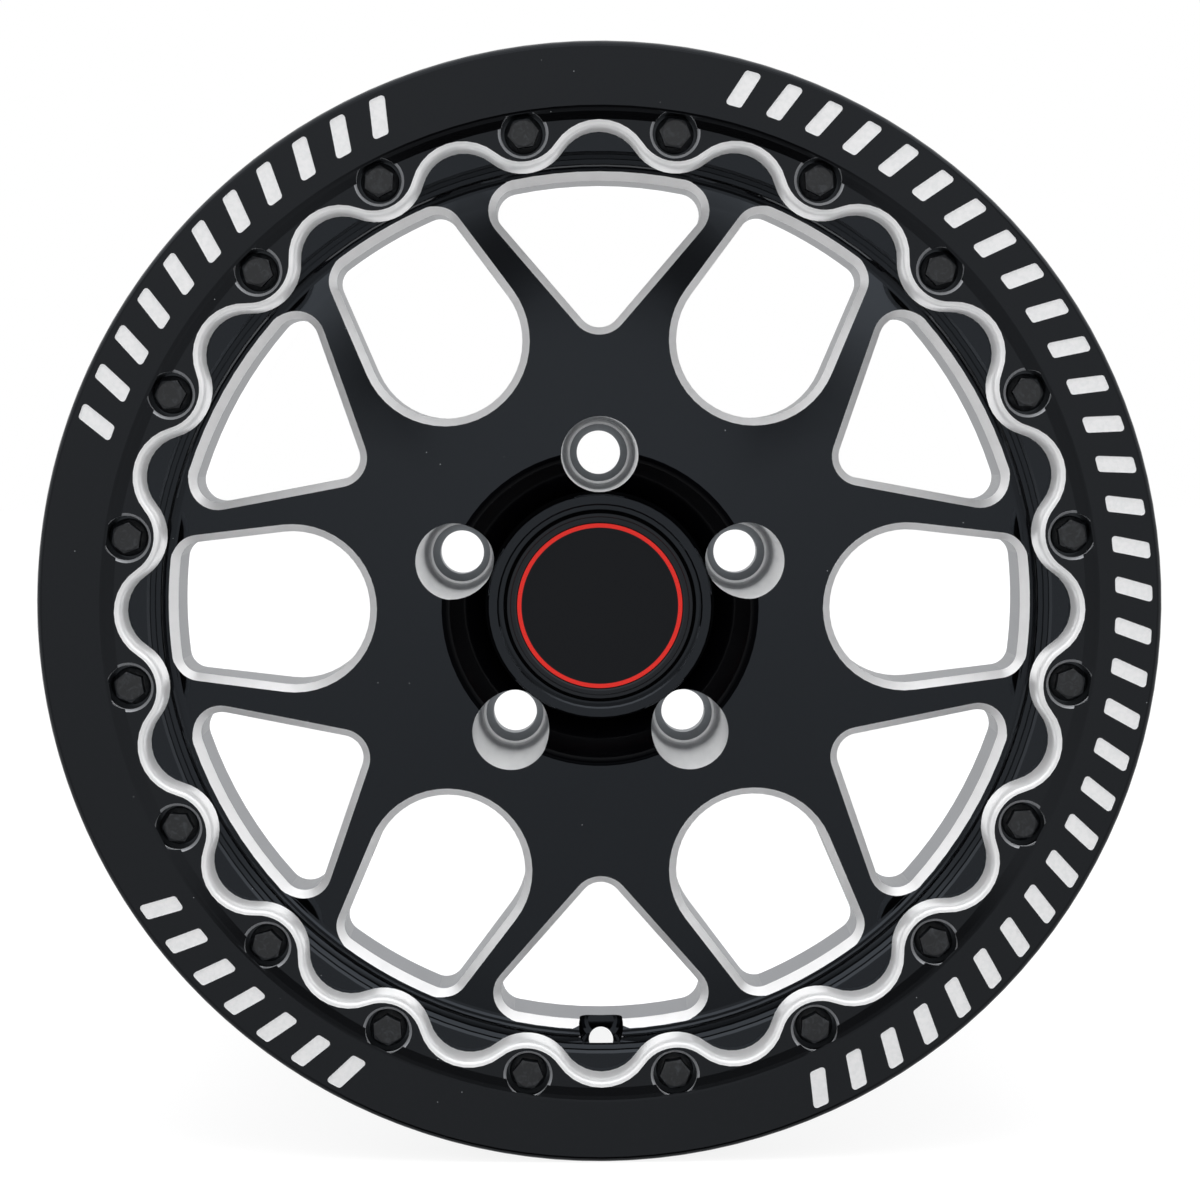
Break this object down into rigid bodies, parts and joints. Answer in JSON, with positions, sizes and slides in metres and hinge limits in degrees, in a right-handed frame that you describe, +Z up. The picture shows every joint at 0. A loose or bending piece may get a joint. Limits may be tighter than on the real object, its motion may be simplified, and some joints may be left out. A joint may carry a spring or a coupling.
{
  "type": "beadlock wheel",
  "caption": "Car wheel with a bolted scalloped bead ring, alternating three-cornered and round-ended windows, deep lug pockets, a push-in hub cap and a drop-well barrel.",
  "frame": {"origin": "centre of the wheel's bounding box, on its spin axis, midway between the ring's front and the rear flange's back", "axes": "+Y is the spin axis and points to the rear (the side of the mounting face), the front faces -Y, +Z is up through one lug hole, and the valve hole is at the bottom"},
  "size_m": [0.4149, 0.277, 0.415],
  "materials": {
    "gloss_black": "gloss black powder coat on forged aluminium, with machined bare window edges and lug pockets",
    "ring_black": "gloss black powder coat on aluminium, scalloped edge machined bare",
    "bolt_black": "black oxide steel, satin",
    "insert_steel": "bright stainless steel",
    "cap_black": "gloss black moulded ABS",
    "disc_black": "satin black disc with a red ring near its edge",
    "rubber": "matt nitrile rubber"
  },
  "bodies": {
    "root": {"wheel_body": "gloss_black", "beadlock_ring": "ring_black", "ring_bolts": "bolt_black", "thread_inserts": "insert_steel", "centre_cap": "cap_black", "cap_disc": "disc_black", "cap_o_ring": "rubber"}
  },
  "joints": []
}
